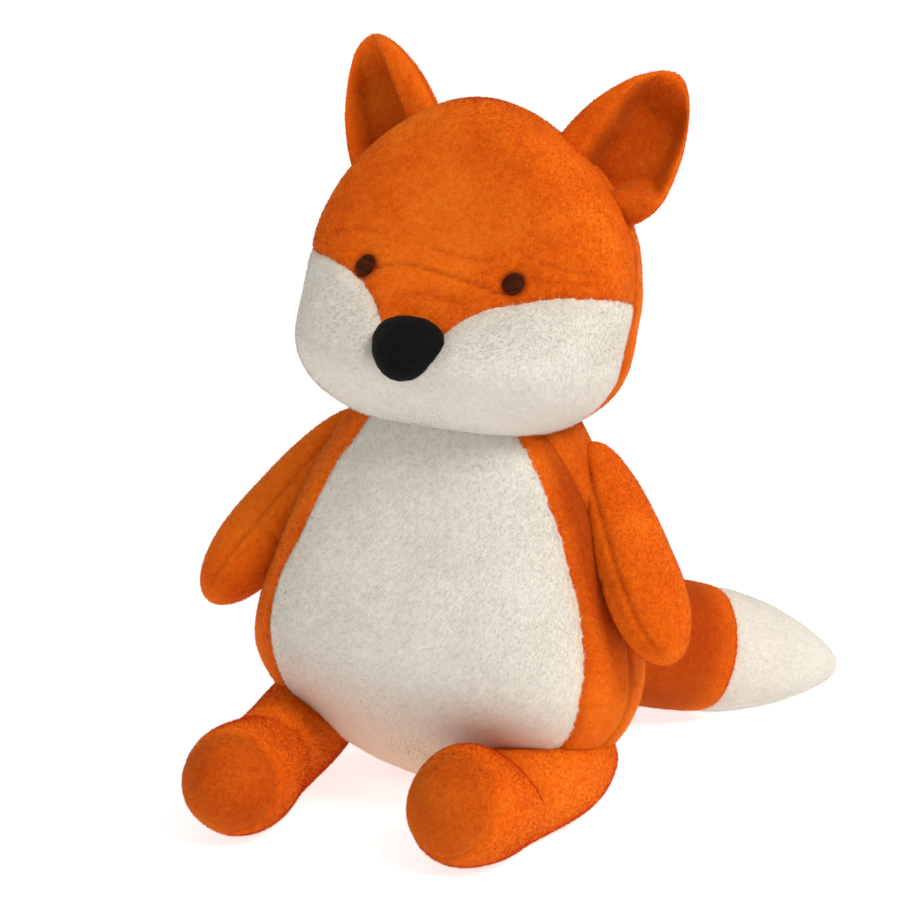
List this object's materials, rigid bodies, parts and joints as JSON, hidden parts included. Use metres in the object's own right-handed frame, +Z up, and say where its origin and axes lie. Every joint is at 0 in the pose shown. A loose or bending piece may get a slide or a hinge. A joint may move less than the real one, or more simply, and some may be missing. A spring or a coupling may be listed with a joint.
{
  "type": "plush fox",
  "caption": "Seated plush fox of orange and white pile fabric with a white tummy, a velour nose, cupped ears and a thick tail",
  "frame": {"origin": "on the floor at the middle of the flat patch of the underside that the fox sits on", "axes": "+Z up, the fox faces -Y, its left side is +X"},
  "size_m": [0.2727, 0.3627, 0.3716],
  "materials": {
    "orange_pile": "short soft pile, matt",
    "white_pile": "short soft pile, matt",
    "nose_velour": "close velour, matt",
    "eye_thread": "satin-stitched thread, slight sheen",
    "fibre_fill": "loose polyester fibre",
    "bag_cloth": "plain woven cloth"
  },
  "bodies": {
    "torso": {"tummy_panel": "white_pile", "side_panel_left": "orange_pile", "side_panel_right": "orange_pile", "back_panel": "orange_pile", "body_stuffing": "fibre_fill", "pellet_bag": "bag_cloth"},
    "head": {"forehead_panel": "orange_pile", "muzzle_panel": "white_pile", "head_back_panel": "orange_pile", "head_stuffing": "fibre_fill", "nose_cover": "nose_velour", "nose_stuffing": "fibre_fill", "eye_left": "eye_thread", "eye_right": "eye_thread"},
    "ear_left": {"ear_lining_left": "orange_pile", "ear_back_left": "orange_pile"},
    "ear_right": {"ear_lining_right": "orange_pile", "ear_back_right": "orange_pile"},
    "arm_left": {"arm_outer_panel_left": "orange_pile", "arm_inner_panel_left": "orange_pile", "arm_stuffing_left": "fibre_fill"},
    "arm_right": {"arm_outer_panel_right": "orange_pile", "arm_inner_panel_right": "orange_pile", "arm_stuffing_right": "fibre_fill"},
    "leg_left": {"leg_cover_left": "orange_pile", "sole_pad_left": "orange_pile", "leg_stuffing_left": "fibre_fill"},
    "leg_right": {"leg_cover_right": "orange_pile", "sole_pad_right": "orange_pile", "leg_stuffing_right": "fibre_fill"},
    "tail": {"tail_sleeve": "orange_pile", "tail_tip": "white_pile", "tail_stuffing": "fibre_fill"}
  },
  "joints": [
    {"name": "head_turn", "type": "hinge", "parent": "torso", "child": "head", "pos_m": [0, 0.001, 0.195], "axis": [0, 0, 1], "range_deg": [-30, 30], "stiffness_Nm_per_rad": 0.3},
    {"name": "ear_left_fold", "type": "hinge", "parent": "head", "child": "ear_left", "pos_m": [0.06448, 0.01727, 0.32135], "axis": [0.9006, -0.0736, -0.4283], "range_deg": [0, 25], "stiffness_Nm_per_rad": 0.05},
    {"name": "ear_right_fold", "type": "hinge", "parent": "head", "child": "ear_right", "pos_m": [-0.05357, 0.01656, 0.32044], "axis": [0.8735, 0.0891, 0.4786], "range_deg": [0, 25], "stiffness_Nm_per_rad": 0.05},
    {"name": "arm_left_swing", "type": "hinge", "parent": "torso", "child": "arm_left", "pos_m": [0.0645, 0.003, 0.187], "axis": [-0.9304, 0, -0.3665], "range_deg": [-40, 60], "stiffness_Nm_per_rad": 0.2},
    {"name": "arm_right_swing", "type": "hinge", "parent": "torso", "child": "arm_right", "pos_m": [-0.0645, 0.003, 0.187], "axis": [-0.9304, 0, 0.3665], "range_deg": [-40, 60], "stiffness_Nm_per_rad": 0.2},
    {"name": "leg_left_drop", "type": "hinge", "parent": "torso", "child": "leg_left", "pos_m": [0.07, 0.0175, 0], "axis": [1, 0, 0], "range_deg": [0, 60], "stiffness_Nm_per_rad": 0.3},
    {"name": "leg_right_drop", "type": "hinge", "parent": "torso", "child": "leg_right", "pos_m": [-0.068, 0.0175, 0], "axis": [1, 0, 0], "range_deg": [0, 60], "stiffness_Nm_per_rad": 0.3},
    {"name": "tail_swing", "type": "hinge", "parent": "torso", "child": "tail", "pos_m": [-0.06, 0.0485, 0.0705], "axis": [0, 0, 1], "range_deg": [0, 50], "stiffness_Nm_per_rad": 0.2}
  ]
}
